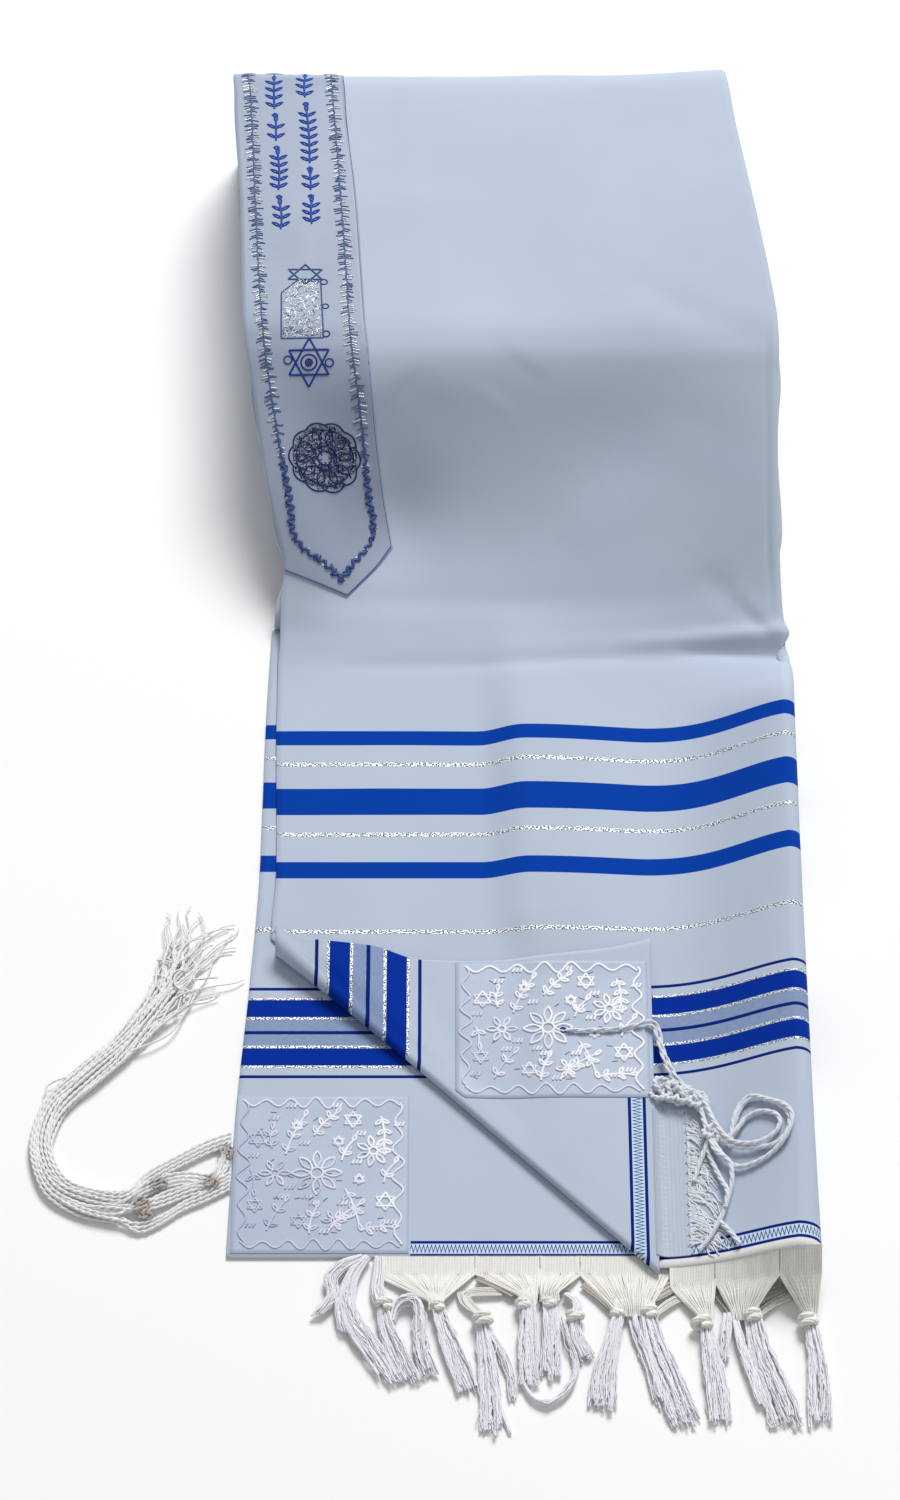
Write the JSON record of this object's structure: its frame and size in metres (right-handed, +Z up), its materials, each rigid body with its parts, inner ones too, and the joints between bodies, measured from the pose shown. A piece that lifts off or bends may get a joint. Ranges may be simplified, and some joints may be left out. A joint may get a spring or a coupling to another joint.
{
  "type": "tallit prayer shawl, folded and laid flat",
  "caption": "Woven prayer shawl folded lengthwise and laid over its own folded half, with a neckband, corner patches, woven stripes and knotted fringes.",
  "frame": {"origin": "middle of the shawl's footprint, on the surface that it lies on", "axes": "+X across the shawl towards its folded side, +Y along it from the fringed hems towards the top fold, +Z up"},
  "size_m": [0.4202, 0.894, 0.0947],
  "materials": {
    "shawl_cloth": "fine woven wool, pale blue-white with blue and silver stripes, soft sheen",
    "band_satin": "satin brocade with blue and silver barbed borders",
    "patch_satin": "satin brocade",
    "fringe_yarn": "loose cream yarn, knotted",
    "tassel_yarn": "matt off-white twisted strings"
  },
  "bodies": {
    "root": {"front_layer": "shawl_cloth", "back_layer": "shawl_cloth", "hidden_layers": "shawl_cloth", "turned_corner": "shawl_cloth", "neckband": "band_satin", "patch_back": "patch_satin", "patch_front": "patch_satin", "fringe_back": "fringe_yarn", "fringe_front": "fringe_yarn", "fringe_turned": "fringe_yarn", "corner_tassel_left": "tassel_yarn", "corner_tassel_front": "tassel_yarn"}
  },
  "joints": []
}
